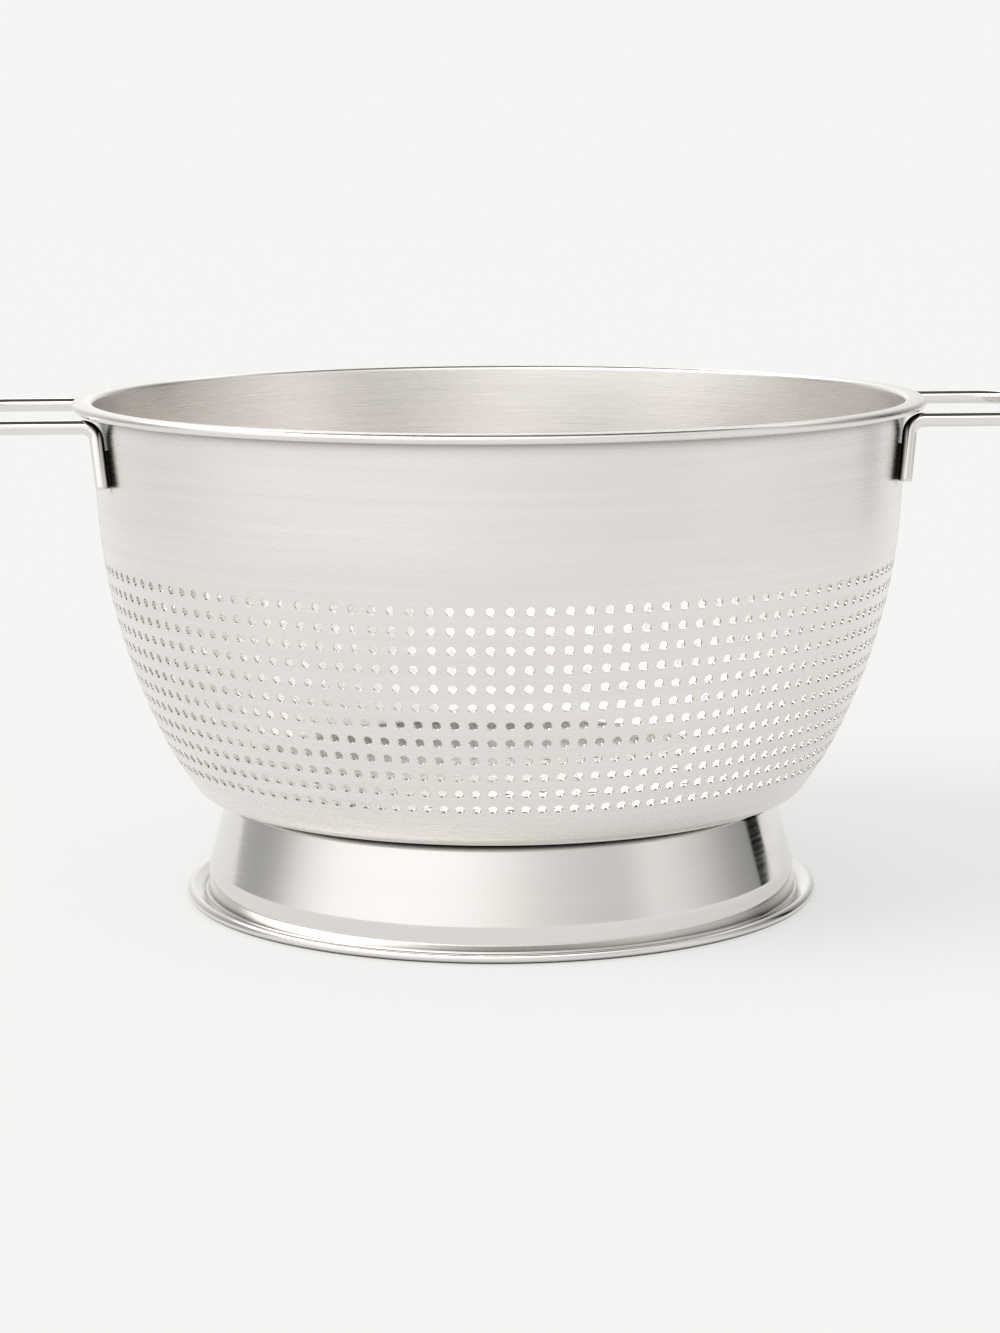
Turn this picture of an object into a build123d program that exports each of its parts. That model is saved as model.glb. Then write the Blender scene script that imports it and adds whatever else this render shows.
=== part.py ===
from math import atan2, cos, degrees, hypot, radians, sin, sqrt, tan
import os

from build123d import *

# Colander of thin stainless sheet on a ring foot, with two bent wire handles.
# Millimetres and degrees. +Z is up, the handles lie along X and the origin is
# the middle of the flat that the foot stands on.

# Bowl outline, measured on the outer face of the sheet
sheet = 0.7
overall_height = 160.0
rim_radius = 135.0
foot_height = 34.5
draft = 2.5  # lean of the straight upper wall from upright
belly_lean = 25.5  # lean at the lower end of the belly curve
heel_lean = 36.5  # lean where the wall meets the heel
belly_radius = 195.0
lower_radius = 107.0
heel_radius = 6.5

# Rolled rim
rim_bend = 0.8
rim_flange = 3.7
curl_radius = 0.7
curl_return = 1.5

# Drain holes
hole_diameter = 2.7
hole_rows = 12
holes_per_row = 138
row_pitch = 5.92
lowest_row_rise = 12.5  # along the wall, from the heel to the lowest row
base_rings = 6
base_ring_pitch = 12.0
holes_per_first_ring = 6

# Foot ring
foot_radius = 101.9
foot_inner_radius = 79.0
foot_bend = 5.0
foot_lean = 15.5  # lean of the upper band from upright
shoulder_radius = 10.0
lower_band_lean = 2.0
lower_band = 6.5
lip_bend = 0.8
lip_rise = 25.0  # climb of the lip from its groove to the bead
lip_slope = 3.75
bead_radius = 1.7
lip_return = 4.0

# Handles
wire_diameter = 4.4
rim_clearance = 0.3
handle_reach = 41.0  # from the edge of the rim to the end of the loop
rail_spacing = 83.0
corner_radius = 15.0
leg_bend = 4.5
leg_drop = 18.6  # from the rail's centre line to the end of the leg
leg_splay = 12.0
wire_end_round = 0.6

# Welds
weld_gap = 0.4
weld_width = 2.4
weld_length = 11.0
spot_diameter = 4.0
spot_count = 12
spot_circle_radius = 81.5

overrun = 2.1  # how far a cutting shape runs past what it cuts

wire_radius = wire_diameter / 2
hole_radius = hole_diameter / 2


def step_along(point, heading, size, turn):
    """Middle, end and new heading of a straight (turn 0) or of an arc of radius size."""
    (x, y), half = point, radians(turn / 2)
    if turn == 0:
        reach = [(x + cos(heading) * size * share, y + sin(heading) * size * share) for share in (0.5, 1)]
        return reach[0], reach[1], heading
    side = 1 if turn > 0 else -1
    centre = (x - sin(heading) * size * side, y + cos(heading) * size * side)
    places = []
    for angle in (heading + half, heading + 2 * half):
        places.append((centre[0] + sin(angle) * size * side, centre[1] - cos(angle) * size * side))
    return places[0], places[1], heading + 2 * half


def beside(point, heading, offset):
    """The point offset to the left of a line that runs along heading."""
    return (point[0] - sin(heading) * offset, point[1] + cos(heading) * offset)


def trace(start, moves, offset=0):
    """Edges, end and heading of the line that runs offset to the left of the moves."""
    point, heading, edges = beside(start, 0, offset), 0, []
    for size, turn in moves:
        side = 0 if turn == 0 else (1 if turn > 0 else -1)
        middle, end, heading = step_along(point, heading, size - side * offset, turn)
        if size > 0:
            edges.append(Line(point, end) if turn == 0 else ThreePointArc(point, middle, end))
        point = end
    return edges, point, heading


def place_along(start, moves, distance):
    """Point and heading at a distance along the moves."""
    point, heading = start, 0
    for size, turn in moves:
        length = size if turn == 0 else size * abs(radians(turn))
        if distance <= length:
            share = distance / length
            part = (size * share, 0) if turn == 0 else (size, turn * share)
            _, point, heading = step_along(point, heading, *part)
            return point, heading
        _, point, heading = step_along(point, heading, size, turn)
        distance -= length
    return point, heading


# Bowl outline: base, heel, lower curve, belly curve, straight wall, rim bend,
# flange, curl and the sheet's return under the flange. The flat base and the
# straight wall take the lengths that the rim's radius and height leave.
bowl_start = (0, foot_height)


def bowl_moves(base, straight):
    curves = [
        (heel_radius, 90 - heel_lean),
        (lower_radius, heel_lean - belly_lean),
        (belly_radius, belly_lean - draft),
    ]
    rim = [(rim_bend, draft - 90), (rim_flange, 0), (curl_radius, -180), (curl_return, 0)]
    return [(base, 0)] + curves + [(straight, 0)] + rim


_, flange_end, _ = trace(bowl_start, bowl_moves(0, 0)[:7])
wall_length = (overall_height - sheet - flange_end[1]) / cos(radians(draft))
wall_spread = wall_length * sin(radians(draft))
base_radius = rim_radius - curl_radius - sheet - flange_end[0] - wall_spread
bowl_line = bowl_moves(base_radius, wall_length)
heel_end = base_radius + heel_radius * radians(90 - heel_lean)

# Each row of holes lies in a narrow zone of the wall that is part of a sphere
# centred on the bowl's axis, so that the edges of the holes are true circles.
zone_edges = []
for row in range(hole_rows + 1):
    rise = lowest_row_rise + (row - 0.5) * row_pitch
    zone_edges.append(place_along(bowl_start, bowl_line, heel_end + rise)[0])
zones = []
for (r0, z0), (r1, z1) in zip(zone_edges, zone_edges[1:]):
    zone_centre = ((r1 * r1 + z1 * z1) - (r0 * r0 + z0 * z0)) / (2 * (z1 - z0))
    zones.append((zone_centre, hypot(r0, z0 - zone_centre)))


def zone_angle(zone, point):
    """Angle of a point about the zone's centre, from straight down."""
    return atan2(point[0], zone[0] - point[1])


def on_zone(zone, inset, angle):
    radius = zone[1] - inset
    return (radius * sin(angle), zone[0] - radius * cos(angle))


def zone_crossing(lower, upper, inset):
    """Where the faces of two neighbouring zones meet, inset from the outer face."""
    a, b = lower[1] - inset, upper[1] - inset
    rise = upper[0] - lower[0]
    z = (upper[0] ** 2 - lower[0] ** 2 - b * b + a * a) / (2 * rise)
    return (sqrt(a * a - (z - lower[0]) ** 2), z)


def bowl_outline(inset):
    """The outer face's outline (inset 0) or the inner one's (inset of one sheet)."""
    first, last = zones[0], zones[-1]
    joints = [on_zone(first, inset, zone_angle(first, zone_edges[0]))]
    joints += [zone_crossing(a, b, inset) for a, b in zip(zones, zones[1:])]
    joints += [on_zone(last, inset, zone_angle(last, zone_edges[-1]))]
    below, heel_point, heel_heading = trace(bowl_start, bowl_line[:2], inset)
    half_rise = (lowest_row_rise - row_pitch / 2) / 2
    middle = beside(*place_along(bowl_start, bowl_line, heel_end + half_rise), inset)
    edges = below + [ThreePointArc(heel_point, middle, joints[0])]
    for zone, start, end in zip(zones, joints, joints[1:]):
        a, b = degrees(zone_angle(zone, start)), degrees(zone_angle(zone, end))
        edges.append(CenterArc((0, zone[0]), zone[1] - inset, a - 90, b - a))
    curve_end = heel_end
    for size, turn in bowl_line[2:4]:
        curve_end += size * radians(turn)
    above_rows = heel_end + lowest_row_rise + (hole_rows - 0.5) * row_pitch
    middle = beside(*place_along(bowl_start, bowl_line, (above_rows + curve_end) / 2), inset)
    upper, end, _ = trace(bowl_start, bowl_line, inset)
    edges.append(ThreePointArc(joints[-1], middle, upper[3] @ 1))
    return edges + upper[4:], end


def revolved_bowl():
    outer, outer_end = bowl_outline(0)
    inner, inner_end = bowl_outline(sheet)
    middle_line = Line(bowl_start, beside(bowl_start, 0, sheet))
    edges = outer + [Line(outer_end, inner_end)] + inner + [middle_line]
    return revolve(make_face([Plane.XZ * edge for edge in edges]), Axis.Z, 360)


def row_of_punches(zone, low_edge, high_edge):
    """Punches for one row, each square to the wall and centred on the zone's centre."""
    lean = degrees(zone_angle(zone, low_edge) + zone_angle(zone, high_edge)) / 2
    reach = zone[1] + overrun
    start = zone[1] - sheet - overrun
    punch = Solid.make_cylinder(hole_radius, reach, Plane.XY)
    punch = punch - Pos(0, 0, start / 2) * Box(2 * hole_diameter, 2 * hole_diameter, start)
    punch = Pos(0, 0, zone[0]) * (Rot(0, 180 - lean, 0) * punch)
    pitch = 360 / holes_per_row
    return [Rot(0, 0, (place + 0.5) * pitch) * punch for place in range(holes_per_row)]


def base_punches():
    """Punches for the flat base: one in the middle and rings of them round it."""
    punch = Pos(0, 0, foot_height + sheet / 2) * Cylinder(hole_radius, sheet + 2 * overrun)
    punches = [punch]
    for ring in range(1, base_rings + 1):
        count = holes_per_first_ring * ring
        for place in range(count):
            punches.append(Rot(0, 0, place * 360 / count) * Pos(ring * base_ring_pitch, 0, 0) * punch)
    return punches


def make_bowl(blank):
    bowl = blank
    for zone, low_edge, high_edge in zip(zones, zone_edges, zone_edges[1:]):
        bowl = bowl - row_of_punches(zone, low_edge, high_edge)
    bowl = bowl - base_punches()
    # the seam of the sheet's faces lies between two columns of holes
    return Rot(0, 0, 180 / holes_per_row) * bowl


def foot_moves(flange, band):
    return [
        (flange, 0),
        (foot_bend, foot_lean - 90),
        (band, 0),
        (shoulder_radius, lower_band_lean - foot_lean),
        (lower_band, 0),
        (lip_bend, 90 - lower_band_lean + lip_rise),
        (lip_slope, 0),
        (bead_radius, -180 - lip_rise),
        (lip_return, 0),
    ]


def spot_places():
    return [Rot(0, 0, place * 360 / spot_count) * Pos(spot_circle_radius, 0, 0) for place in range(spot_count)]


def make_foot_ring():
    """Pressed ring: top flange, leaning band, upright band and a lip rolled into a bead to stand on."""
    start = (foot_inner_radius, foot_height)
    _, end, _ = trace(start, foot_moves(0, 0)[:8])
    band = end[1] / cos(radians(foot_lean))
    spread = band * sin(radians(foot_lean))
    flange = foot_radius - bead_radius - end[0] - spread
    outer, outer_end, _ = trace(start, foot_moves(flange, band))
    inner, inner_end, _ = trace(start, foot_moves(flange, band), -sheet)
    closing = [Line(outer_end, inner_end), Line(start, beside(start, 0, -sheet))]
    ring = revolve(make_face([Plane.XZ * edge for edge in outer + inner + closing]), Axis.Z, 360)
    spot = Pos(0, 0, foot_height) * Cylinder(spot_diameter / 2, 2 * (sheet + overrun))
    return ring - [place * spot for place in spot_places()]


def make_spot_welds():
    """Nuggets that fill the flange's holes and hold it to the underside of the bowl."""
    nugget = Pos(0, 0, foot_height - sheet / 2) * Cylinder(spot_diameter / 2, sheet)
    return Compound(children=[place * nugget for place in spot_places()])


# Handles. The rails run out from under the rim and the legs lie down the wall.
rail_height = overall_height - 2 * (curl_radius + sheet) - rim_clearance - wire_radius
curl_outside = rim_radius - curl_radius - sheet
wall_top_radius = curl_outside - rim_flange - rim_bend * (1 - sin(radians(draft)))
wall_top_height = overall_height - sheet - rim_bend * cos(radians(draft))


def leg_point(drop):
    """Centre line of the right rear leg, a drop below the rails."""
    y = rail_spacing / 2 + drop * tan(radians(leg_splay))
    z = rail_height - drop
    face = wall_top_radius - (wall_top_height - z) * tan(radians(draft))
    axis_distance = face + (weld_gap + wire_radius) / cos(radians(draft))
    return Vector(sqrt(axis_distance**2 - y * y), y, z)


def rounded_path(points, radii):
    """Straight runs between the points, with an arc of the given radius at each turn."""
    edges, start = [], points[0]
    for before, corner, after, radius in zip(points, points[1:], points[2:], radii):
        back = (before - corner).normalized()
        ahead = (after - corner).normalized()
        half = radians(back.get_angle(ahead) / 2)
        run = radius / tan(half)
        inward = (back + ahead).normalized()
        arc_start, arc_end = corner + back * run, corner + ahead * run
        middle = corner + inward * (radius / sin(half) - radius)
        edges += [Line(start, arc_start), ThreePointArc(arc_start, middle, arc_end)]
        start = arc_end
    return Wire(edges + [Line(start, points[-1])])


def make_handle():
    """The right-hand loop: leg, rail, outer bar, rail and leg of one bent wire."""
    foot_end, top = leg_point(leg_drop), leg_point(0)
    outer = Vector(rim_radius + handle_reach - wire_radius, rail_spacing / 2, rail_height)
    rear = [foot_end, top, outer]
    front = [Vector(point.X, -point.Y, point.Z) for point in reversed(rear)]
    path = rounded_path(rear + front, [leg_bend, corner_radius, corner_radius, leg_bend])
    section = Plane(origin=path @ 0, z_dir=path % 0) * Circle(wire_radius)
    wire = sweep(section, path)
    ends = wire.faces().filter_by(GeomType.PLANE).edges()
    return fillet(ends, wire_end_round)


def make_handle_weld(handle, blank):
    """Fused metal between the right rear leg and the wall, from the wire to the sheet."""
    low, high = leg_point(leg_drop), leg_point(0)
    along = (high - low).normalized()
    middle = low + along * (wire_end_round + weld_length / 2)
    outward = Vector(middle.X, middle.Y, 0).normalized()
    side = along.cross(outward).normalized()
    depth = wire_radius + weld_gap + sheet / 2
    frame = Plane(origin=middle, x_dir=side.cross(along), z_dir=along)
    strip = frame * Pos(-depth / 2, 0, 0) * Box(depth, weld_width, weld_length)
    return (strip - handle - blank).solid()


def save(shape, node):
    export_step(shape, f"parts/{node}.step", write_pcurves=False)


os.makedirs("parts", exist_ok=True)
blank = revolved_bowl()
right_handle = make_handle()
rear_weld = make_handle_weld(right_handle, blank)
front_weld = mirror(rear_weld, Plane.XZ)
save(make_bowl(blank), "bowl")
save(make_foot_ring(), "foot_ring")
save(make_spot_welds(), "foot_ring_spot_welds")
save(right_handle, "handle_right")
save(mirror(right_handle, Plane.YZ), "handle_left")
save(rear_weld, "handle_right_weld_rear")
save(front_weld, "handle_right_weld_front")
save(mirror(rear_weld, Plane.YZ), "handle_left_weld_rear")
save(mirror(front_weld, Plane.YZ), "handle_left_weld_front")
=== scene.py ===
# Colander of thin stainless steel: a perforated bowl on a pressed ring foot, with two wire handles.
# The object stands at the origin on Z = 0, its handles lie along X and the front is towards -Y.

import math

import bpy
import numpy as np
from mathutils import Matrix, Vector, geometry


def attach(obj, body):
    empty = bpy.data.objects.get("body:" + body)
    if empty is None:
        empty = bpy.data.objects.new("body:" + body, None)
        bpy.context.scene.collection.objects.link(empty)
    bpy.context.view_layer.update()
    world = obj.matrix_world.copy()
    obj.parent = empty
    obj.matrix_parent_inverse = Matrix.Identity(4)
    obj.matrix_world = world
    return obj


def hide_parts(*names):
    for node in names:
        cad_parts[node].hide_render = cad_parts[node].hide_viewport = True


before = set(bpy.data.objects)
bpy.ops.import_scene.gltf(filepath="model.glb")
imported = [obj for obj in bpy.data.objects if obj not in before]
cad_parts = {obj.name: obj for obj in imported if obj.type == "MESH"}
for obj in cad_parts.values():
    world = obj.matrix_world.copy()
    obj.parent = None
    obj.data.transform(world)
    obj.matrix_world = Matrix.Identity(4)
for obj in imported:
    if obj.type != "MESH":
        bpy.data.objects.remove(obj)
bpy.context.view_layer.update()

# Bowl
# The bowl is drawn from one sheet of 18/10 stainless steel. It has twelve rows of punched drain
# holes round the lower half, rings of them in the flat base, and an edge rolled outwards into a
# flat rim. The outline is walked on the outer face of the sheet, in millimetres and degrees.
MM = 0.001
TOUCHING = 1e-6  # points closer than this are one
SHEET = 0.7
OVERALL_HEIGHT = 160.0
RIM_RADIUS = 135.0
FOOT_HEIGHT = 34.5
DRAFT = 2.5
BELLY_LEAN = 25.5
HEEL_LEAN = 36.5
BELLY_RADIUS = 195.0
LOWER_RADIUS = 107.0
HEEL_RADIUS = 6.5
RIM_BEND = 0.8
RIM_FLANGE = 3.7
CURL_RADIUS = 0.7
CURL_RETURN = 1.5
HOLE_RADIUS = 1.35
HOLE_ROWS = 12
HOLES_PER_ROW = 138
ROW_PITCH = 5.92
LOWEST_ROW_RISE = 12.5
BASE_RINGS = 6
BASE_RING_PITCH = 12.0
HOLES_PER_FIRST_RING = 6
HOLE_SIDES = 16
PUNCH_ROUND = 0.14  # the punch draws the edge of each hole in a little
BEND_STEP = 18.0  # degrees of a tight bend between two rows of the mesh
BELLY_STEP = 2.5  # the same on the belly's wide curves


def step(point, heading, size, turn):
    """Moves a point along a straight (turn 0) or round an arc of radius size. Heading is in radians."""
    x, z = point
    if turn == 0:
        return (x + math.cos(heading) * size, z + math.sin(heading) * size), heading
    side = math.copysign(1, turn)
    cx, cz = x - math.sin(heading) * size * side, z + math.cos(heading) * size * side
    after = heading + math.radians(turn)
    return (cx + math.sin(after) * size * side, cz - math.cos(after) * size * side), after


def length_of(move):
    size, turn = move
    return size if turn == 0 else size * abs(math.radians(turn))


def at(start, moves, distance, inset=0.0):
    """Radius, height and the unit normal to the right of the outline, moved inset to the left."""
    point, heading = start, 0.0
    for size, turn in moves:
        length = length_of((size, turn))
        if distance <= length + 1e-9:
            share = distance / length
            part = (size * share, 0) if turn == 0 else (size, turn * share)
            point, heading = step(point, heading, *part)
            break
        point, heading = step(point, heading, size, turn)
        distance -= length
    out = (math.sin(heading), -math.cos(heading))
    return point[0] - out[0] * inset, point[1] - out[1] * inset, out[0], out[1]


def stops(moves, turn_step, straight_step=1e9):
    """Distances along the moves at which the mesh has a row of points."""
    found, done = [0.0], 0.0
    for move in moves:
        parts = abs(move[1]) / turn_step if move[1] else move[0] / straight_step
        parts = max(1, math.ceil(parts - TOUCHING))
        found += [done + length_of(move) * (i + 1) / parts for i in range(parts)]
        done += length_of(move)
    return found


class Skin:
    """Collects points and faces, with the true surface normal at each corner, and makes the mesh."""

    def __init__(self):
        self.points, self.faces, self.normals, self.count = [], [], [], 0

    def add(self, points):
        points = np.asarray(points, float).reshape(-1, 3)
        self.points.append(points)
        self.count += len(points)
        return np.arange(self.count - len(points), self.count)

    def face(self, corners, normals):
        """corners is (n, 3 or 4) point numbers, and normals one vector for each of them."""
        self.faces.append(np.asarray(corners))
        self.normals.append(np.asarray(normals, float))

    def strip(self, a, b, normal_a, normal_b):
        """Quads from closed row a to closed row b, wound so that they face right of the rows' way."""
        i = np.arange(len(a))
        j = (i + 1) % len(a)
        corners = np.stack([a[i], a[j], b[j], b[i]], 1)
        normals = np.stack([normal_a[i], normal_a[j], normal_b[j], normal_b[i]], 1)
        self.face(corners, normals)

    def piece(self, name):
        mesh = bpy.data.meshes.new(name)
        points = np.concatenate(self.points) * MM
        sizes = np.concatenate([np.full(len(f), f.shape[1]) for f in self.faces])
        corners = np.concatenate([f.ravel() for f in self.faces])
        normals = np.concatenate([n.reshape(-1, 3) for n in self.normals])
        mesh.vertices.add(len(points))
        mesh.vertices.foreach_set("co", points.astype(np.float32).ravel())
        mesh.loops.add(len(corners))
        mesh.loops.foreach_set("vertex_index", corners.astype(np.int32))
        mesh.polygons.add(len(sizes))
        starts = np.concatenate([[0], np.cumsum(sizes)[:-1]])
        mesh.polygons.foreach_set("loop_start", starts.astype(np.int32))
        mesh.update(calc_edges=True)
        mesh.polygons.foreach_set("use_smooth", np.ones(len(sizes), bool))
        normals /= np.maximum(np.linalg.norm(normals, axis=1, keepdims=True), 1e-12)
        mesh.normals_split_custom_set(normals)
        mesh.validate(clean_customdata=False)
        piece = bpy.data.objects.new(name, mesh)
        bpy.context.scene.collection.objects.link(piece)
        return piece


def round_z(radius, height, angles):
    """Points on a level circle, one for each angle in radians."""
    angles = np.asarray(angles, float)
    return np.stack([radius * np.cos(angles), radius * np.sin(angles), np.full(angles.shape, height)], -1)


def turned(skin, rows, angles, first=None, last=None):
    """Skins a turned outline. Rows hold radius, height and normal; first and last reuse points."""
    ids = [first if first is not None else skin.add(round_z(rows[0][0], rows[0][1], angles))]
    for r, z, *_ in rows[1:-1]:
        ids.append(skin.add(round_z(r, z, angles)))
    ids.append(last if last is not None else skin.add(round_z(rows[-1][0], rows[-1][1], angles)))
    for a, b, low, high in zip(ids, ids[1:], rows, rows[1:]):
        if math.hypot(low[0] - high[0], low[1] - high[1]) > TOUCHING:
            skin.strip(a, b, round_z(low[2], low[3], angles), round_z(high[2], high[3], angles))
    return ids


def bowl_moves(base, straight):
    return [
        (base, 0),
        (HEEL_RADIUS, 90 - HEEL_LEAN),
        (LOWER_RADIUS, HEEL_LEAN - BELLY_LEAN),
        (BELLY_RADIUS, BELLY_LEAN - DRAFT),
        (straight, 0),
        (RIM_BEND, DRAFT - 90),
        (RIM_FLANGE, 0),
        (CURL_RADIUS, -180),
        (CURL_RETURN, 0),
    ]


bowl_start = (0.0, FOOT_HEIGHT)
point, heading = bowl_start, 0.0
for move in bowl_moves(0, 0)[:7]:
    point, heading = step(point, heading, *move)
wall_length = (OVERALL_HEIGHT - SHEET - point[1]) / math.cos(math.radians(DRAFT))
wall_spread = wall_length * math.sin(math.radians(DRAFT))
base_radius = RIM_RADIUS - CURL_RADIUS - SHEET - point[0] - wall_spread
bowl_line = bowl_moves(base_radius, wall_length)
heel_end = base_radius + length_of(bowl_line[1])
lowest_row = heel_end + LOWEST_ROW_RISE
row_edges = [lowest_row + (row - 0.5) * ROW_PITCH for row in range(HOLE_ROWS + 1)]

column = 2 * math.pi / HOLES_PER_ROW
seams = (np.arange(HOLES_PER_ROW) + 0.5) * column
hole_turn = np.arange(HOLE_SIDES) * 2 * math.pi / HOLE_SIDES


def on_wall(distance, angle, inset=0.0):
    """Points and outward normals of the wall at distances along the outline and angles round it."""
    distance, angle = np.broadcast_arrays(distance, angle)
    flat = np.array([at(bowl_start, bowl_line, d, inset) for d in distance.ravel()])
    r, z, nr, nz = (flat[:, i].reshape(distance.shape) for i in range(4))
    place = np.stack([r * np.cos(angle), r * np.sin(angle), z], -1)
    normal = np.stack([nr * np.cos(angle), nr * np.sin(angle), nz], -1)
    return place, normal


def perforate(skin, rows_out, rows_in):
    """Twelve rows of cells, each a piece of both faces of the sheet with one hole through it."""
    quarter = HOLE_SIDES // 4
    for row in range(HOLE_ROWS):
        middle = lowest_row + row * ROW_PITCH
        rings = []
        for radius in (HOLE_RADIUS + PUNCH_ROUND, HOLE_RADIUS):
            along = middle + radius * np.sin(hole_turn)
            wall_radius = np.array([at(bowl_start, bowl_line, d)[0] for d in along])
            around = radius * np.cos(hole_turn) / wall_radius
            rings.append(on_wall(along, around))
        _, axis = on_wall(np.array([middle]), np.array([0.0]))
        east = np.array([0.0, 1.0, 0.0])
        north = np.cross(axis[0], east)
        inward = -(np.cos(hole_turn)[:, None] * east + np.sin(hole_turn)[:, None] * north)
        inner = rings[1][0] - SHEET * axis[0]
        inner_normal = -rings[1][1]
        draw = rings[1][0] - PUNCH_ROUND * axis[0]
        for place in range(HOLES_PER_ROW):
            angle = (place + 1) * column
            c, s = math.cos(angle), math.sin(angle)
            turn = np.array([[c, s, 0], [-s, c, 0], [0, 0, 1]])
            a, b, d = (skin.add(p @ turn) for p in (rings[0][0], draw, inner))
            face_n, side_n, back_n = rings[0][1] @ turn, inward @ turn, inner_normal @ turn
            skin.strip(a, b, face_n, side_n)
            skin.strip(b, d, side_n, side_n)
            west, east_side = place, (place + 1) % HOLES_PER_ROW
            for rows, ring, ring_n, sign in ((rows_out, a, face_n, 1), (rows_in, d, back_n, -1)):
                low, high = rows[row], rows[row + 1]
                corners = [high[0][east_side], high[0][west], low[0][west], low[0][east_side]]
                normals = [high[1][east_side], high[1][west], low[1][west], low[1][east_side]]
                tris, tri_normals = [], []
                for k in range(4):
                    for j in range(k * quarter, (k + 1) * quarter):
                        i = (j + 1) % HOLE_SIDES
                        tris.append([corners[k], ring[i], ring[j]])
                        tri_normals.append([normals[k], ring_n[i], ring_n[j]])
                    i = (k + 1) * quarter % HOLE_SIDES
                    after = (k + 1) % 4
                    tris.append([corners[k], corners[after], ring[i]])
                    tri_normals.append([normals[k], normals[after], ring_n[i]])
                tris, tri_normals = np.array(tris), np.array(tri_normals)
                skin.face(tris[:, ::sign], tri_normals[:, ::sign])


def base_sheet(skin, edge_out, edge_in):
    """The flat base with its holes: both faces are filled between the edge and the hole outlines."""
    centres = [(0.0, 0.0)]
    for ring in range(1, BASE_RINGS + 1):
        count = HOLES_PER_FIRST_RING * ring
        reach = ring * BASE_RING_PITCH
        for place in range(count):
            angle = 2 * math.pi * place / count + column / 2
            centres.append((reach * math.cos(angle), reach * math.sin(angle)))
    flat = [Vector((base_radius * math.cos(t), base_radius * math.sin(t))) for t in seams]
    edges = [(i, (i + 1) % len(seams)) for i in range(len(seams))]
    for cx, cy in centres:
        first = len(flat)
        flat += [Vector((cx + HOLE_RADIUS * math.cos(t), cy + HOLE_RADIUS * math.sin(t))) for t in hole_turn]
        edges += [(first + i, first + (i + 1) % HOLE_SIDES) for i in range(HOLE_SIDES)]
    found, _, tris, *_ = geometry.delaunay_2d_cdt(flat, edges, [], 0, 1e-7)
    xy = np.array(found)
    middles = np.array([xy[list(t)].mean(0) for t in tris])
    holes = np.array(centres)
    near = np.min(np.linalg.norm(middles[:, None] - holes[None], axis=2), axis=1)
    tris = np.array([t for t, d in zip(tris, near) if d > HOLE_RADIUS])
    a, b, c = xy[tris[:, 0]], xy[tris[:, 1]], xy[tris[:, 2]]
    wound = (b[:, 0] - a[:, 0]) * (c[:, 1] - a[:, 1]) - (b[:, 1] - a[:, 1]) * (c[:, 0] - a[:, 0])
    tris[wound < 0] = tris[wound < 0][:, ::-1]
    count = len(seams)
    sides = []
    for edge, height, up in ((edge_out, FOOT_HEIGHT, -1), (edge_in, FOOT_HEIGHT + SHEET, 1)):
        rest = skin.add(np.column_stack([xy[count:], np.full(len(xy) - count, height)]))
        ids = np.concatenate([edge, rest])
        normal = np.tile([0, 0, up], (len(tris), 3, 1))
        skin.face(ids[tris][:, ::up], normal)
        sides.append(rest.reshape(-1, HOLE_SIDES))
    inward = -np.column_stack([np.cos(hole_turn), np.sin(hole_turn), np.zeros(HOLE_SIDES)])
    for low, high in zip(*sides):
        skin.strip(low, high, inward, inward)
        skin.faces[-1] = skin.faces[-1][:, ::-1]
        skin.normals[-1] = skin.normals[-1][:, ::-1]


def wall_rows(distances, inset):
    """Outline rows; the inner face is walked from the rim down, so it faces the other way."""
    rows = [at(bowl_start, bowl_line, d, inset) for d in distances]
    if inset:
        rows = [(r, z, -nr, -nz) for r, z, nr, nz in reversed(rows)]
    return rows


bowl_stops = stops(bowl_line, BEND_STEP)
belly_stops = stops(bowl_line[:4], BELLY_STEP)
heel_stops = [d for d in bowl_stops if base_radius < d <= heel_end + TOUCHING]
low_stops = [base_radius] + heel_stops + [row_edges[0]]
high_stops = [row_edges[-1]]
high_stops += [d for d in belly_stops if d > row_edges[-1] + 1]
high_stops += [d for d in bowl_stops if d > belly_stops[-1] + TOUCHING]

bowl_skin = Skin()
rows_out, rows_in = [], []
for inset, sign, rows in ((0.0, 1, rows_out), (SHEET, -1, rows_in)):
    for d in row_edges:
        place, normal = on_wall(np.full(HOLES_PER_ROW, d), seams, inset)
        rows.append((bowl_skin.add(place), sign * normal))
perforate(bowl_skin, rows_out, rows_in)
low_out = turned(bowl_skin, wall_rows(low_stops, 0.0), seams, last=rows_out[0][0])
high_out = turned(bowl_skin, wall_rows(high_stops, 0.0), seams, first=rows_out[-1][0])
high_in = turned(bowl_skin, wall_rows(high_stops, SHEET), seams, last=rows_in[-1][0])
low_in = turned(bowl_skin, wall_rows(low_stops, SHEET), seams, first=rows_in[0][0])
sheet_edge = round_z(-1, 0, seams)
bowl_skin.strip(high_out[-1], high_in[0], sheet_edge, sheet_edge)
base_sheet(bowl_skin, low_out[0], low_in[-1])
bowl = bowl_skin.piece("satin_bowl")


def srgb(code):
    """A hex colour as linear red, green, blue and alpha."""
    parts = [int(code[i : i + 2], 16) / 255 for i in (1, 3, 5)]
    return tuple(c / 12.92 if c <= 0.04045 else ((c + 0.055) / 1.055) ** 2.4 for c in parts) + (1.0,)


def node(tree, kind, links=(), **settings):
    """Adds a node, sets its properties and its input sockets, and links (output, input) pairs."""
    made = tree.nodes.new(kind)
    for key, value in settings.items():
        if key.startswith("in_"):
            name = key[3:]
            made.inputs[int(name) if name.isdigit() else name.replace("_", " ")].default_value = value
        else:
            setattr(made, key, value)
    for output, name in links:
        tree.links.new(output, made.inputs[name])
    return made


STANDING_RISE = 0.4
CREVICE_SAMPLES = 8


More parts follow.
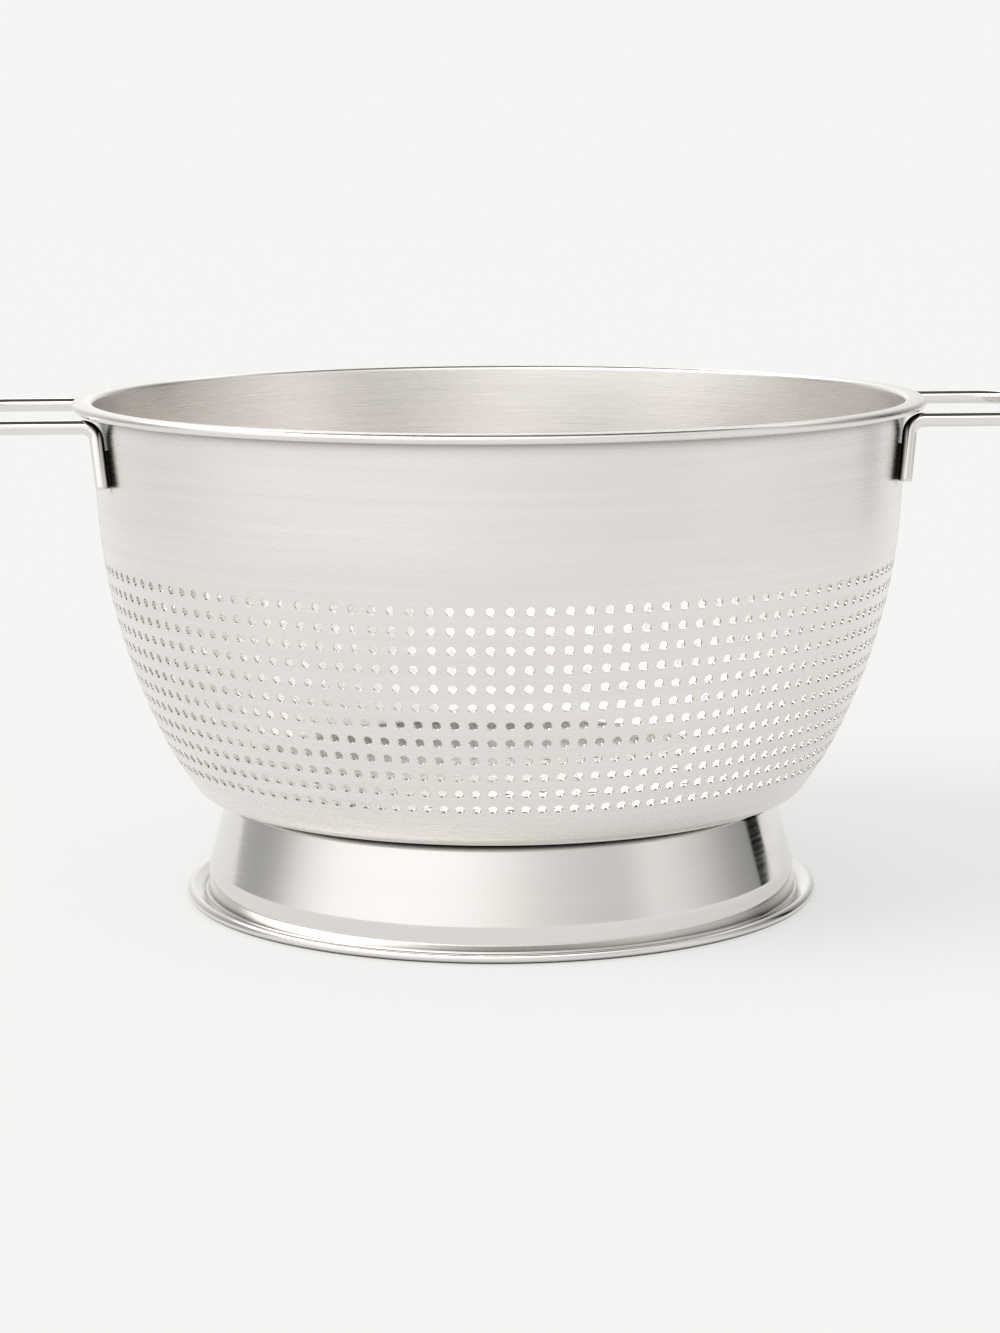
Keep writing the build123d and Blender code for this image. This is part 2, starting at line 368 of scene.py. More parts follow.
def paint_crevice_shade(tree, colour, reach=6.0, shut=0.3, clear=0.85, deepest=0.02):
    """Paints shade into a colour where surfaces nearly touch: ambient occlusion darkens the colour there."""
    open_share = node(tree, "ShaderNodeAmbientOcclusion", samples=CREVICE_SAMPLES, in_Distance=reach * MM)
    kept = node(
        tree,
        "ShaderNodeMapRange",
        [(open_share.outputs["AO"], "Value")],
        interpolation_type="SMOOTHSTEP",
        in_From_Min=shut,
        in_From_Max=clear,
        in_To_Min=deepest,
    )
    # the painted shade is left off the face that stands on the floor, so it stays bright when seen from below
    place = node(tree, "ShaderNodeTexCoord")
    height = node(tree, "ShaderNodeSeparateXYZ", [(place.outputs["Object"], 0)])
    low = node(
        tree, "ShaderNodeMath", [(height.outputs[2], 0)], operation="LESS_THAN", in_1=STANDING_RISE * MM
    )
    kept = node(tree, "ShaderNodeMath", [(kept.outputs[0], 0), (low.outputs[0], 1)], operation="MAXIMUM")
    shaded = node(tree, "ShaderNodeVectorMath", [(colour, 0)], operation="SCALE")
    tree.links.new(kept.outputs[0], shaded.inputs["Scale"])
    return shaded.outputs[0]


LINE_DEPTH = 0.05
ROUND_THE_AXIS = 0.25  # a quarter turn of the finish, so that its lines run round the axis


def steel(name, light, dark, streaks, rough, bump, anisotropic, inside_painted_light=0.0, **painted_shade):
    """Stainless steel whose finish runs in rings: fine lines with a softer variation of tone, with painted
    light on the side facing the middle of the bowl and painted shade in crevices.

    streaks holds the width and the length in millimetres of the lines, then of the soft variation.
    """
    material = bpy.data.materials.new(name)
    material.use_nodes = True
    tree = material.node_tree
    shader = tree.nodes["Principled BSDF"]
    shader.inputs["Metallic"].default_value = 1.0
    shader.inputs["Anisotropic"].default_value = anisotropic
    shader.inputs["Anisotropic Rotation"].default_value = ROUND_THE_AXIS
    where = node(tree, "ShaderNodeTexCoord")
    split = node(tree, "ShaderNodeSeparateXYZ", [(where.outputs["Object"], 0)])
    flat = node(tree, "ShaderNodeCombineXYZ", [(split.outputs[0], 0), (split.outputs[1], 1)])
    radius = node(tree, "ShaderNodeVectorMath", [(flat.outputs[0], 0)], operation="LENGTH")
    rise = node(
        tree, "ShaderNodeMath", [(radius.outputs["Value"], 0), (split.outputs[2], 1)], operation="ADD"
    )
    waves = []
    for across, along in streaks:
        grain = node(
            tree, "ShaderNodeMath", [(rise.outputs[0], 0)], operation="MULTIPLY", in_1=1 / (across * MM)
        )
        run = node(
            tree, "ShaderNodeVectorMath", [(flat.outputs[0], 0)], operation="SCALE", in_Scale=1 / (along * MM)
        )
        split_run = node(tree, "ShaderNodeSeparateXYZ", [(run.outputs[0], 0)])
        line = node(
            tree,
            "ShaderNodeCombineXYZ",
            [(split_run.outputs[0], 0), (split_run.outputs[1], 1), (grain.outputs[0], 2)],
        )
        waves.append(
            node(
                tree,
                "ShaderNodeTexNoise",
                [(line.outputs[0], "Vector")],
                in_Scale=1.0,
                in_Detail=2.0,
                in_Roughness=0.5,
            )
        )
    tone = node(
        tree,
        "ShaderNodeMix",
        [(waves[1].outputs["Fac"], 0)],
        data_type="RGBA",
        in_6=srgb(dark),
        in_7=srgb(light),
    )
    # painted light: the side that faces the middle of the bowl gets a lighter colour than the outside,
    # standing in for the brighter light inside the bowl
    from_middle = node(
        tree,
        "ShaderNodeVectorMath",
        [(where.outputs["Object"], 0)],
        operation="SUBTRACT",
        in_1=(0.0, 0.0, OVERALL_HEIGHT * MM),
    )
    facing = node(
        tree,
        "ShaderNodeVectorMath",
        [(from_middle.outputs[0], 0), (where.outputs["Normal"], 1)],
        operation="DOT_PRODUCT",
    )
    inner = node(tree, "ShaderNodeMath", [(facing.outputs["Value"], 0)], operation="LESS_THAN", in_1=0.0)
    gain = node(
        tree, "ShaderNodeMath", [(inner.outputs[0], 0)], operation="MULTIPLY_ADD", in_1=inside_painted_light, in_2=1.0
    )
    inside_lit = node(tree, "ShaderNodeVectorMath", [(tone.outputs[2], 0)], operation="SCALE")
    tree.links.new(gain.outputs[0], inside_lit.inputs["Scale"])
    # painted shade: the colour is darkened where the steel's folds and parts nearly touch
    tree.links.new(paint_crevice_shade(tree, inside_lit.outputs[0], **painted_shade), shader.inputs["Base Color"])
    # nearly all of the noise lies between 0.3 and 0.7
    gloss = node(
        tree,
        "ShaderNodeMapRange",
        [(waves[0].outputs["Fac"], "Value")],
        in_From_Min=0.3,
        in_From_Max=0.7,
        in_To_Min=rough[0],
        in_To_Max=rough[1],
    )
    tree.links.new(gloss.outputs[0], shader.inputs["Roughness"])
    relief = node(
        tree,
        "ShaderNodeBump",
        [(waves[0].outputs["Fac"], "Height")],
        in_Strength=bump,
        in_Distance=LINE_DEPTH * MM,
    )
    tree.links.new(relief.outputs[0], shader.inputs["Normal"])
    tangent = node(tree, "ShaderNodeTangent", direction_type="RADIAL", axis="Z")
    tree.links.new(tangent.outputs[0], shader.inputs["Tangent"])
    return material


# Satin 18/10 stainless steel, turned against a fine abrasive belt. The real lines are under 0.1 mm
# apart and are drawn at 0.45 mm here so that they show; they spread reflections up and down.
satin = steel(
    "satin_stainless_steel",
    light="#EFECE9",
    dark="#E5E1DD",
    streaks=((0.45, 60), (3.0, 90)),
    rough=(0.24, 0.33),
    bump=0.25,
    anisotropic=0.6,
    # painted light: the inside of the bowl is coloured 8.5 percent lighter than the outside
    inside_painted_light=0.085,
    # reach and shut set the painted shade in the bowl's folds and where it meets the foot
    reach=8.0,
    shut=0.4,
)
bowl.data.materials.append(satin)
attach(bowl, "root")
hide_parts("bowl")

# Foot ring
# The foot is a ring pressed from the same sheet and polished. Its top flange lies flat under the
# bowl's base, the leaning band turns upright at a soft shoulder, and the lip is rolled into a bead
# that stands a little above the groove between it and the band.
FOOT_RADIUS = 101.9
FOOT_INNER_RADIUS = 79.0
FOOT_BEND = 5.0
FOOT_LEAN = 15.5
SHOULDER_RADIUS = 10.0
LOWER_BAND_LEAN = 2.0
LOWER_BAND = 6.5
LIP_BEND = 0.8
LIP_RISE = 25.0
LIP_SLOPE = 3.75
BEAD_RADIUS = 1.7
LIP_RETURN = 4.0
FOOT_SIDES = 180
FOOT_BEND_STEP = 10.0
FOOT_STRAIGHT_STEP = 8.0


def foot_moves(flange, band):
    return [
        (flange, 0),
        (FOOT_BEND, FOOT_LEAN - 90),
        (band, 0),
        (SHOULDER_RADIUS, LOWER_BAND_LEAN - FOOT_LEAN),
        (LOWER_BAND, 0),
        (LIP_BEND, 90 - LOWER_BAND_LEAN + LIP_RISE),
        (LIP_SLOPE, 0),
        (BEAD_RADIUS, -180 - LIP_RISE),
        (LIP_RETURN, 0),
    ]


foot_start = (FOOT_INNER_RADIUS, FOOT_HEIGHT)
point, heading = foot_start, 0.0
for move in foot_moves(0, 0)[:8]:
    point, heading = step(point, heading, *move)
band = point[1] / math.cos(math.radians(FOOT_LEAN))
flange = FOOT_RADIUS - BEAD_RADIUS - point[0] - band * math.sin(math.radians(FOOT_LEAN))
foot_line = foot_moves(flange, band)
foot_stops = stops(foot_line, FOOT_BEND_STEP, FOOT_STRAIGHT_STEP)
outside = [at(foot_start, foot_line, d) for d in reversed(foot_stops)]
inside = [at(foot_start, foot_line, d, -SHEET) for d in foot_stops]
foot_columns = np.arange(FOOT_SIDES) * 2 * math.pi / FOOT_SIDES
foot_skin = Skin()
top = turned(foot_skin, [(r, z, -nr, -nz) for r, z, nr, nz in outside], foot_columns)
under = turned(foot_skin, inside, foot_columns)
inner_edge = round_z(-1, 0, foot_columns)
foot_skin.strip(top[-1], under[0], inner_edge, inner_edge)
foot_skin.strip(under[-1], top[0], inner_edge, inner_edge)
foot = foot_skin.piece("polished_foot_ring")

# Polished stainless steel, buffed to a bright finish. Only faint rings stay from the polishing
# wheel, so it gives clear, slightly soft reflections with sharp dark streaks.
polished = steel(
    "polished_stainless_steel",
    light="#E8E5E2",
    dark="#E0DDD9",
    streaks=((0.6, 80), (4.0, 120)),
    rough=(0.08, 0.13),
    bump=0.05,
    anisotropic=0.3,
    # reach, shut and clear set the painted shade in the foot's groove and in the seam under the bowl
    reach=5.0,
    shut=0.3,
    clear=0.6,
)
foot.data.materials.append(polished)
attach(foot, "root")
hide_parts("foot_ring")

# Spot welds
# Twelve resistance spot welds hold the flange to the base. Each is a shallow round dimple that the
# electrode pressed into the flange's underside, with a low raised edge.
SPOT_COUNT = 12
SPOT_CIRCLE_RADIUS = 81.5
SPOT_SIDES = 32
SPOT_MIDDLE = 0.02
# radius of each ring of a weld and how far it stands out of the flange, from its edge inwards
SPOT_OUTLINE = [
    (2.0, 0.0),
    (1.86, 0.08),
    (1.68, 0.12),
    (1.5, 0.1),
    (1.25, 0.05),
    (0.8, 0.03),
    (0.25, SPOT_MIDDLE),
    (0.0, SPOT_MIDDLE),
]

spot_skin = Skin()
spot_turn = np.arange(SPOT_SIDES) * 2 * math.pi / SPOT_SIDES
flange_under = FOOT_HEIGHT - SHEET
for place in range(SPOT_COUNT):
    angle = 2 * math.pi * place / SPOT_COUNT
    middle = round_z(SPOT_CIRCLE_RADIUS, flange_under, [angle])[0]
    rings = []
    for (r, h), (r2, h2) in zip(SPOT_OUTLINE, SPOT_OUTLINE[1:]):
        rise = math.atan2(h2 - h, r - r2)
        normal = round_z(math.sin(rise), -math.cos(rise), spot_turn)
        rings.append((spot_skin.add(round_z(r, -h, spot_turn) + middle), normal))
    for (a, na), (b, nb) in zip(rings, rings[1:]):
        spot_skin.strip(b, a, nb, na)
    last = rings[-1][0]
    centre = spot_skin.add(middle - np.array([0, 0, SPOT_MIDDLE]))
    i = np.arange(SPOT_SIDES)
    j = (i + 1) % SPOT_SIDES
    down = np.tile([0.0, 0.0, -1.0], (SPOT_SIDES, 3, 1))
    spot_skin.face(np.stack([last[j], last[i], np.repeat(centre, SPOT_SIDES)], 1), down)
spots = spot_skin.piece("foot_ring_spot_marks")

# Weld metal on stainless steel, left as welded: a dull grey oxide with a straw tint from the heat.
# It shows as a rough, darker strip or dot beside the bright steel.
WELD_MOTTLE = 1.2
WELD_RIPPLE_DEPTH = 0.1
weld_metal = bpy.data.materials.new("heat_tinted_weld_metal")
weld_metal.use_nodes = True
tree = weld_metal.node_tree
shader = tree.nodes["Principled BSDF"]
shader.inputs["Metallic"].default_value = 1.0
where = node(tree, "ShaderNodeTexCoord")
mottle = node(
    tree,
    "ShaderNodeTexNoise",
    [(where.outputs["Object"], "Vector")],
    in_Scale=1 / (WELD_MOTTLE * MM),
    in_Detail=4.0,
)
tint = node(
    tree,
    "ShaderNodeMix",
    [(mottle.outputs["Fac"], 0)],
    data_type="RGBA",
    in_6=srgb("#A39C90"),
    in_7=srgb("#C9C1AE"),
)
# painted shade darkens the weld metal where it lies between the leg and the wall
tree.links.new(paint_crevice_shade(tree, tint.outputs[2], shut=0.5, clear=1.0), shader.inputs["Base Color"])
dull = node(tree, "ShaderNodeMapRange", [(mottle.outputs["Fac"], "Value")], in_To_Min=0.3, in_To_Max=0.55)
tree.links.new(dull.outputs[0], shader.inputs["Roughness"])
ripple = node(
    tree,
    "ShaderNodeBump",
    [(mottle.outputs["Fac"], "Height")],
    in_Strength=0.5,
    in_Distance=WELD_RIPPLE_DEPTH * MM,
)
tree.links.new(ripple.outputs[0], shader.inputs["Normal"])
spots.data.materials.append(weld_metal)
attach(spots, "root")
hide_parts("foot_ring_spot_welds")

# Handles
# Each handle is one length of 4.4 mm stainless wire, bent to a flat loop. Its two legs turn down
# under the rim and lie along the wall, where they are welded, and their ends are rounded over.
WIRE_RADIUS = 2.2
RIM_CLEARANCE = 0.3
HANDLE_REACH = 41.0
RAIL_SPACING = 83.0
CORNER_RADIUS = 15.0
LEG_BEND = 4.5
LEG_DROP = 18.6
LEG_SPLAY = 12.0
WIRE_END_ROUND = 0.6
WELD_GAP = 0.4

rail_height = OVERALL_HEIGHT - 2 * (CURL_RADIUS + SHEET) - RIM_CLEARANCE - WIRE_RADIUS
bend_in = RIM_BEND * (1 - math.sin(math.radians(DRAFT)))
wall_top_radius = RIM_RADIUS - CURL_RADIUS - SHEET - RIM_FLANGE - bend_in
wall_top_height = OVERALL_HEIGHT - SHEET - RIM_BEND * math.cos(math.radians(DRAFT))


def leg_point(drop):
    """Centre line of a leg, a drop below the rails."""
    y = RAIL_SPACING / 2 + drop * math.tan(math.radians(LEG_SPLAY))
    z = rail_height - drop
    face = wall_top_radius - (wall_top_height - z) * math.tan(math.radians(DRAFT))
    reach = face + (WELD_GAP + WIRE_RADIUS) / math.cos(math.radians(DRAFT))
    return Vector((math.sqrt(reach**2 - y * y), y, z))


def bent_wire(corners, radii, turn_step=5.0, run_step=6.0):
    """Points and directions along straight runs joined by arcs of the given radii."""
    places, start = [], corners[0]
    for before, corner, after, radius in zip(corners, corners[1:], corners[2:], radii):
        back, ahead = (before - corner).normalized(), (after - corner).normalized()
        half = back.angle(ahead) / 2
        run = radius / math.tan(half)
        inward = (back + ahead).normalized()
        centre = corner + inward * (radius / math.sin(half))
        arc_start = corner + back * run
        count = max(1, round((arc_start - start).length / run_step))
        places += [(start.lerp(arc_start, i / count), -back) for i in range(count)]
        sweep = math.pi - 2 * half
        axis = (-back).cross(ahead).normalized()
        count = max(2, math.ceil(math.degrees(sweep) / turn_step))
        for i in range(count + 1):
            turn = Matrix.Rotation(sweep * i / count, 3, axis)
            places.append((centre + turn @ (arc_start - centre), turn @ -back))
        start = corner + ahead * run
    last = (corners[-1] - start).normalized()
    count = max(1, round((corners[-1] - start).length / run_step))
    places += [(start.lerp(corners[-1], i / count), last) for i in range(1, count + 1)]
    return places


def wire_piece(name, places, sides=28):
    """A round wire along the places, with its two ends rounded over."""
    skin = Skin()
    tangent = places[0][1].normalized()
    across = tangent.orthogonal().normalized()
    rows = []
    end_turns = [math.radians(90 * i / 4) for i in range(5)]
    for number, (place, direction) in enumerate(places):
        direction = direction.normalized()
        across = tangent.rotation_difference(direction) @ across
        across = (across - direction * across.dot(direction)).normalized()
        tangent = direction
        aside = direction.cross(across)
        end = -1 if number == 0 else 1 if number == len(places) - 1 else 0
        rounds = [(WIRE_RADIUS, 0.0, 0.0)]
        if end:
            core, bevel = WIRE_RADIUS - WIRE_END_ROUND, WIRE_END_ROUND
            rounds = [
                (core + bevel * math.cos(t), end * bevel * (math.sin(t) - 1), end * math.sin(t))
                for t in (end_turns if end > 0 else reversed(end_turns))
            ]
        for radius, shift, lean in rounds:
            turn = np.arange(sides) * 2 * math.pi / sides
            spokes = np.cos(turn)[:, None] * np.array(across) + np.sin(turn)[:, None] * np.array(aside)
            ring = np.array(place + direction * shift) + radius * spokes
            upright = math.sqrt(max(0.0, 1 - lean * lean))
            rows.append((skin.add(ring), upright * spokes + lean * np.array(direction)))
    for (a, na), (b, nb) in zip(rows, rows[1:]):
        skin.strip(a, b, na, nb)
    i = np.arange(sides)
    j = (i + 1) % sides
    for (ring, _), (place, direction), end in ((rows[0], places[0], -1), (rows[-1], places[-1], 1)):
        centre = skin.add(np.array(place))
        order = [ring[i], ring[j], np.repeat(centre, sides)]
        order = order if end > 0 else [order[1], order[0], order[2]]
        skin.face(np.stack(order, 1), np.tile(end * np.array(direction), (sides, 3, 1)))
    return skin.piece(name)


# Polished stainless wire. Drawing leaves very fine lines along it, and the buffing wheel nearly
# clears them, so the rails show a pale body between dark, clean-edged lines. The real lines are
# finer, and are drawn at 0.8 mm here.
WIRE_LINE_WIDTH = 0.8
WIRE_LINE_LENGTH = 25.0
wire_steel = bpy.data.materials.new("polished_stainless_wire")
wire_steel.use_nodes = True
tree = wire_steel.node_tree
shader = tree.nodes["Principled BSDF"]
shader.inputs["Metallic"].default_value = 1.0
where = node(tree, "ShaderNodeTexCoord")
drawn = node(
    tree,
    "ShaderNodeMapping",
    [(where.outputs["Object"], "Vector")],
    in_Scale=(1 / (WIRE_LINE_LENGTH * MM), 1 / (WIRE_LINE_WIDTH * MM), 1 / (WIRE_LINE_WIDTH * MM)),
)
lines = node(tree, "ShaderNodeTexNoise", [(drawn.outputs[0], "Vector")], in_Scale=1.0, in_Detail=2.0)
shade = node(
    tree,
    "ShaderNodeMix",
    [(lines.outputs["Fac"], 0)],
    data_type="RGBA",
    in_6=srgb("#E2DFDB"),
    in_7=srgb("#EBE8E5"),
)
# painted shade darkens the wire where it lies against the bowl's wall
tree.links.new(paint_crevice_shade(tree, shade.outputs[2]), shader.inputs["Base Color"])
gloss = node(tree, "ShaderNodeMapRange", [(lines.outputs["Fac"], "Value")], in_To_Min=0.07, in_To_Max=0.14)
tree.links.new(gloss.outputs[0], shader.inputs["Roughness"])
scratch = node(
    tree, "ShaderNodeBump", [(lines.outputs["Fac"], "Height")], in_Strength=0.05, in_Distance=LINE_DEPTH * MM
)
tree.links.new(scratch.outputs[0], shader.inputs["Normal"])

for side, name in ((1, "right"), (-1, "left")):
    outer = Vector((RIM_RADIUS + HANDLE_REACH - WIRE_RADIUS, RAIL_SPACING / 2, rail_height))
    rear = [leg_point(LEG_DROP), leg_point(0), outer]
    front = [Vector((p.x, -p.y, p.z)) for p in reversed(rear)]
    corners = [Vector((side * p.x, p.y, p.z)) for p in rear + front]
    bends = [LEG_BEND, CORNER_RADIUS, CORNER_RADIUS, LEG_BEND]
    handle = wire_piece(f"wire_handle_{name}", bent_wire(corners, bends))
    handle.data.materials.append(wire_steel)
    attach(handle, "root")
    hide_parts(f"handle_{name}")
    for end in ("front", "rear"):
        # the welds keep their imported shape: a strip of weld metal between the leg and the wall
        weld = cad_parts[f"handle_{name}_weld_{end}"]
        weld.data.materials.clear()
        weld.data.materials.append(weld_metal)

# Studio
# A pale sweep with soft, even light. A broad soft lamp stands to the left, so the shadow falls to
# the right. Reflections see their own walls and one black card, as on a table for metalware.
PALE = "#F5F5F4"
FLOOR_RADIUS = 6.0
FLOOR_SIDES = 96
FLOOR_HEIGHT = -0.0001
FLOOR_OWN_SHARE = 0.62

floor_mesh = bpy.data.meshes.new("floor")
floor_turn = np.arange(FLOOR_SIDES) * 2 * math.pi / FLOOR_SIDES
floor_points = [(0, 0, FLOOR_HEIGHT), *round_z(FLOOR_RADIUS, FLOOR_HEIGHT, floor_turn).tolist()]
floor_faces = [(0, 1 + i, 1 + (i + 1) % FLOOR_SIDES) for i in range(FLOOR_SIDES)]
floor_mesh.from_pydata(floor_points, [], floor_faces)
floor = bpy.data.objects.new("floor", floor_mesh)
bpy.context.scene.collection.objects.link(floor)

# Matt white sweep paper. Most of its tone is its own pale colour, and the rest takes the shadow.
paper = bpy.data.materials.new("white_sweep_paper")
paper.use_nodes = True
tree = paper.node_tree
tree.nodes.clear()
rays = node(tree, "ShaderNodeLightPath")
seen = node(tree, "ShaderNodeMath", [(rays.outputs["Is Camera Ray"], 0), (rays.outputs["Is Glossy Ray"], 1)])
seen = node(tree, "ShaderNodeMath", [(seen.outputs[0], 0), (rays.outputs["Is Transmission Ray"], 1)])
own_share = node(tree, "ShaderNodeMath", [(seen.outputs[0], 0)], operation="MULTIPLY", in_1=FLOOR_OWN_SHARE)
matt = node(tree, "ShaderNodeBsdfDiffuse", in_Color=srgb("#F2F2F0"))
glow = node(tree, "ShaderNodeEmission", in_Color=srgb(PALE), in_Strength=1.0)
mixed = node(
    tree, "ShaderNodeMixShader", [(own_share.outputs[0], 0), (matt.outputs[0], 1), (glow.outputs[0], 2)]
)
# from below the paper isn't there, so the underside can be seen
shape = node(tree, "ShaderNodeNewGeometry")
clear = node(tree, "ShaderNodeBsdfTransparent")
one_way = node(
    tree,
    "ShaderNodeMixShader",
    [(shape.outputs["Backfacing"], 0), (mixed.outputs[0], 1), (clear.outputs[0], 2)],
)
node(tree, "ShaderNodeOutputMaterial", [(one_way.outputs[0], "Surface")])
floor.data.materials.append(paper)

# Reflections see the walls of the studio instead: a broad soft window of light to the front left, a
# dimmer stretch to the front right and grey sides. The ceiling above them is lit from the left, and
# its middle is unlit. Each stop is the azimuth in degrees, 0 at the front and 90 to the right, and
# the grey there.
WALLS = [
    (-180, "#F4F4F2"),
    (-140, "#B4B4B2"),
    (-120, "#9A9A98"),
    (-104, "#A4A4A2"),
    (-90, "#DCDCDA"),
    (-72, "#FCFCFB"),
    (-45, "#FFFFFF"),
    (-20, "#FCFCFB"),
    (0, "#E8E8E6"),
    (14, "#D6D6D4"),
    (32, "#C8C8C6"),
    (46, "#C4C4C2"),
    (54, "#D2D2D0"),
    (62, "#E0E0DE"),
    (82, "#C8C8C6"),
    (100, "#A0A09E"),
    (125, "#747472"),
    (145, "#8E8E8C"),
    (180, "#F4F4F2"),
]
MIRRORED_STRENGTH = 1.28
AMBIENT_STRENGTH = 0.75
CEILING_STARTS, CEILING_FULL = 30, 44  # elevations in degrees
CEILING_TONE = 2.15
CEILING_FALL = -2.2  # from left to right
UNLIT_ELEVATION = 85
UNLIT_FULL, UNLIT_ENDS = 32, 42  # degrees from its middle
UNLIT_TONE = "#4A4A49"

world = bpy.data.worlds.new("studio")
bpy.context.scene.world = world
world.use_nodes = True
tree = world.node_tree
tree.nodes.clear()
rays = node(tree, "ShaderNodeLightPath")
way = node(tree, "ShaderNodeTexCoord")
parts = node(tree, "ShaderNodeSeparateXYZ", [(way.outputs["Generated"], 0)])
forward = node(tree, "ShaderNodeMath", [(parts.outputs[1], 0)], operation="MULTIPLY", in_1=-1.0)
azimuth = node(tree, "ShaderNodeMath", [(parts.outputs[0], 0), (forward.outputs[0], 1)], operation="ARCTAN2")
round_share = node(
    tree, "ShaderNodeMapRange", [(azimuth.outputs[0], "Value")], in_From_Min=-math.pi, in_From_Max=math.pi
)
walls = node(tree, "ShaderNodeValToRGB", [(round_share.outputs[0], 0)])
ramp = walls.color_ramp
ramp.interpolation = "B_SPLINE"
for number, (degrees, tone) in enumerate(WALLS):
    place = (degrees + 180) / 360
    stop = ramp.elements[number] if number < 2 else ramp.elements.new(place)
    stop.position = place
    stop.color = srgb(tone)
overhead = node(
    tree,
    "ShaderNodeMapRange",
    [(parts.outputs[2], "Value")],
    interpolation_type="SMOOTHSTEP",
    in_From_Min=math.sin(math.radians(CEILING_STARTS)),
    in_From_Max=math.sin(math.radians(CEILING_FULL)),
)
upper = node(tree, "ShaderNodeMix", [(overhead.outputs[0], 0), (walls.outputs[0], 6)], data_type="RGBA")
ceiling = node(
    tree,
    "ShaderNodeMath",
    [(parts.outputs[0], 0)],
    operation="MULTIPLY_ADD",
    in_1=CEILING_FALL,
    in_2=CEILING_TONE,
)
tree.links.new(ceiling.outputs[0], upper.inputs[7])
unlit_middle = (0.0, math.cos(math.radians(UNLIT_ELEVATION)), math.sin(math.radians(UNLIT_ELEVATION)))
beyond = node(
    tree,
    "ShaderNodeVectorMath",
    [(way.outputs["Generated"], 0)],
    operation="DOT_PRODUCT",
    in_1=unlit_middle,
)
unlit = node(
    tree,
    "ShaderNodeMapRange",
    [(beyond.outputs["Value"], "Value")],
    interpolation_type="SMOOTHSTEP",
    in_From_Min=math.cos(math.radians(UNLIT_ENDS)),
    in_From_Max=math.cos(math.radians(UNLIT_FULL)),
)
room = node(
    tree,
    "ShaderNodeMix",
    [(unlit.outputs[0], 0), (upper.outputs[2], 6)],
    data_type="RGBA",
    in_7=srgb(UNLIT_TONE),
)
ambient = node(tree, "ShaderNodeBackground", in_Color=srgb("#FFFFFF"), in_Strength=AMBIENT_STRENGTH)
mirrored = node(tree, "ShaderNodeBackground", [(room.outputs[2], "Color")], in_Strength=MIRRORED_STRENGTH)
backdrop = node(tree, "ShaderNodeBackground", in_Color=srgb(PALE), in_Strength=1.0)
both = node(
    tree,
    "ShaderNodeMixShader",
    [(rays.outputs["Is Glossy Ray"], 0), (ambient.outputs[0], 1), (mirrored.outputs[0], 2)],
)
behind = node(
    tree, "ShaderNodeMath", [(rays.outputs["Is Camera Ray"], 0), (rays.outputs["Is Transmission Ray"], 1)]
)
both = node(
    tree, "ShaderNodeMixShader", [(behind.outputs[0], 0), (both.outputs[0], 1), (backdrop.outputs[0], 2)]
)
node(tree, "ShaderNodeOutputWorld", [(both.outputs[0], "Surface")])

LAMP_STRENGTH = 1.2
LAMP_SPREAD = 40  # degrees, so the shadow has a soft edge
TO_LAMP = Vector((-0.75, -0.35, 0.9))

lamp = bpy.data.lights.new("soft_lamp", "SUN")
lamp.energy = LAMP_STRENGTH
lamp.angle = math.radians(LAMP_SPREAD)
lamp_object = bpy.data.objects.new("soft_lamp", lamp)
lamp_object.rotation_euler = TO_LAMP.to_track_quat("Z", "Y").to_euler()
lamp_object.visible_glossy = False
bpy.context.scene.collection.objects.link(lamp_object)


# A black card stands on the floor to the right, behind the object. Only reflections see it: it
# gives the one black streak on the foot. Its azimuth counts as for the walls.
CARD_AZIMUTH = math.radians(119)
CARD_DISTANCE = 1.5
CARD_WIDTH = 0.28
CARD_HEIGHT = 0.7

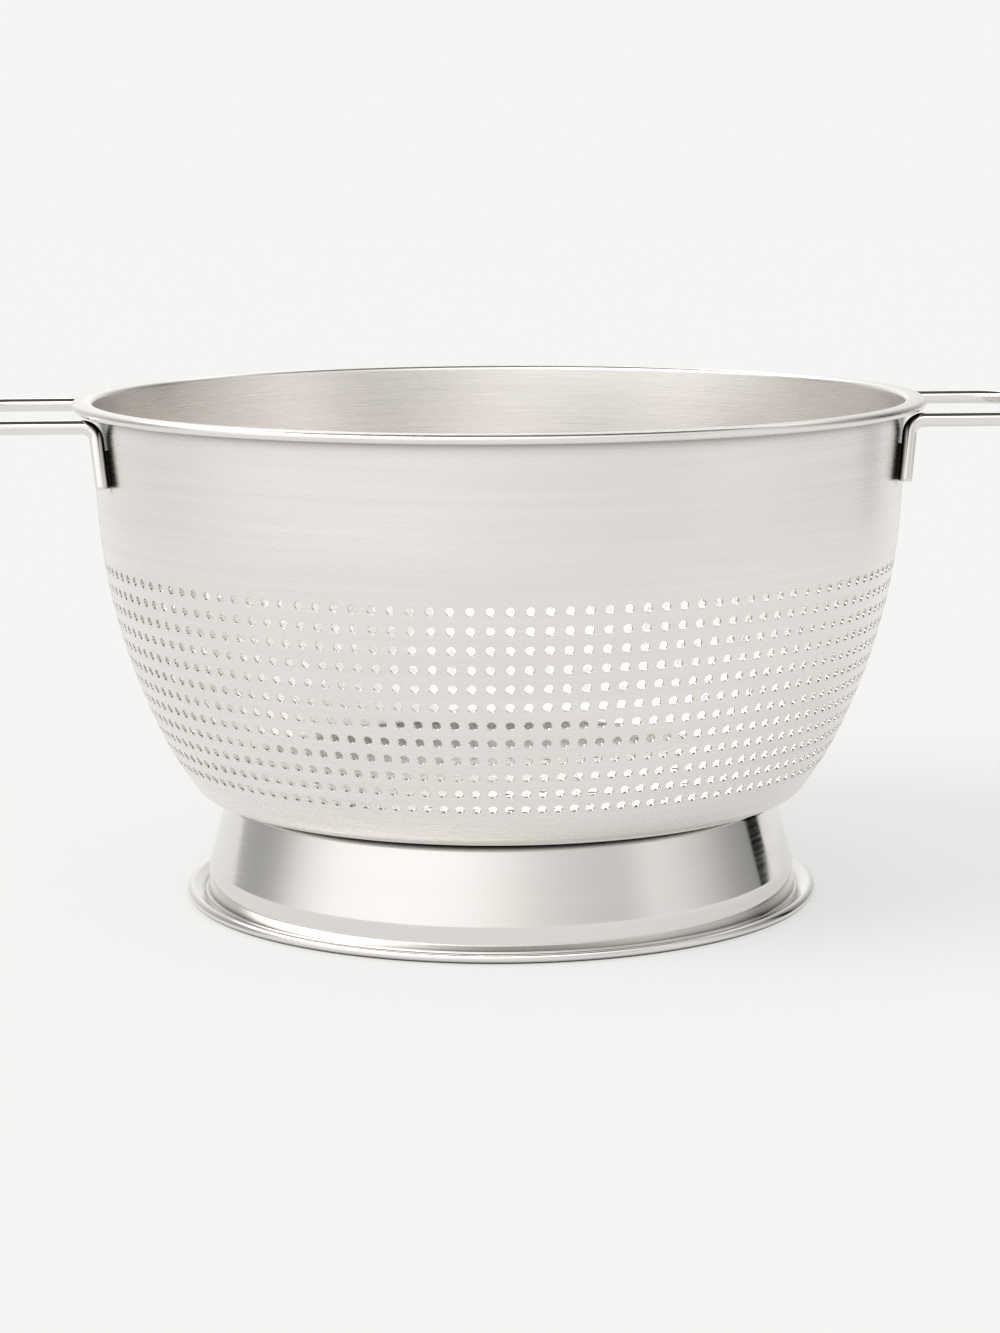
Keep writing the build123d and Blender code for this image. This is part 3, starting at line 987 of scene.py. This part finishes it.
card_foot = Vector((math.sin(CARD_AZIMUTH), -math.cos(CARD_AZIMUTH), 0)) * CARD_DISTANCE
card_half = Vector((math.cos(CARD_AZIMUTH), math.sin(CARD_AZIMUTH), 0)) * (CARD_WIDTH / 2)
card_top = Vector((0, 0, CARD_HEIGHT))
low_left, low_right = card_foot - card_half, card_foot + card_half
card_mesh = bpy.data.meshes.new("black_flag")
card_mesh.from_pydata([low_left, low_right, low_right + card_top, low_left + card_top], [], [(0, 1, 2, 3)])
card = bpy.data.objects.new("black_flag", card_mesh)

# Black velvet, which gives back almost nothing.
velvet = bpy.data.materials.new("black_velvet")
velvet.use_nodes = True
tree = velvet.node_tree
tree.nodes.clear()
nearly_black = node(tree, "ShaderNodeEmission", in_Color=srgb("#0A0A0A"))
node(tree, "ShaderNodeOutputMaterial", [(nearly_black.outputs[0], "Surface")])
card_mesh.materials.append(velvet)
bpy.context.scene.collection.objects.link(card)
card.visible_camera = card.visible_diffuse = card.visible_shadow = False
card.visible_transmission = card.visible_volume_scatter = False

# Camera
# The camera stands a metre in front, a little left of centre, and looks down by under ten degrees.
SENSOR = 36.0
FOCAL_SHARE = 3180.8 / 1333.0  # focal length in heights of the picture
CAMERA_PLACE = Vector((-47.2, -1011.4, 243.1))
CAMERA_YAW, CAMERA_PITCH, CAMERA_ROLL = 2.67, 9.57, 0.28  # degrees, to the right, down and clockwise

camera = bpy.data.cameras.new("camera")
camera.sensor_width = SENSOR
camera.lens = SENSOR * FOCAL_SHARE
camera.clip_start = 0.05
camera.clip_end = 50.0
camera_object = bpy.data.objects.new("camera", camera)
yaw, pitch, roll = (math.radians(angle) for angle in (CAMERA_YAW, CAMERA_PITCH, CAMERA_ROLL))
ahead = Vector((math.sin(yaw) * math.cos(pitch), math.cos(yaw) * math.cos(pitch), -math.sin(pitch)))
level = ahead.cross(Vector((0, 0, 1))).normalized()
upward = level.cross(ahead)
right = level * math.cos(roll) - upward * math.sin(roll)
above = upward * math.cos(roll) + level * math.sin(roll)
turn = Matrix((right, above, -ahead)).transposed().to_4x4()
camera_object.matrix_world = Matrix.Translation(CAMERA_PLACE * MM) @ turn
bpy.context.scene.collection.objects.link(camera_object)
bpy.context.scene.camera = camera_object
bpy.context.scene.view_settings.view_transform = "Standard"
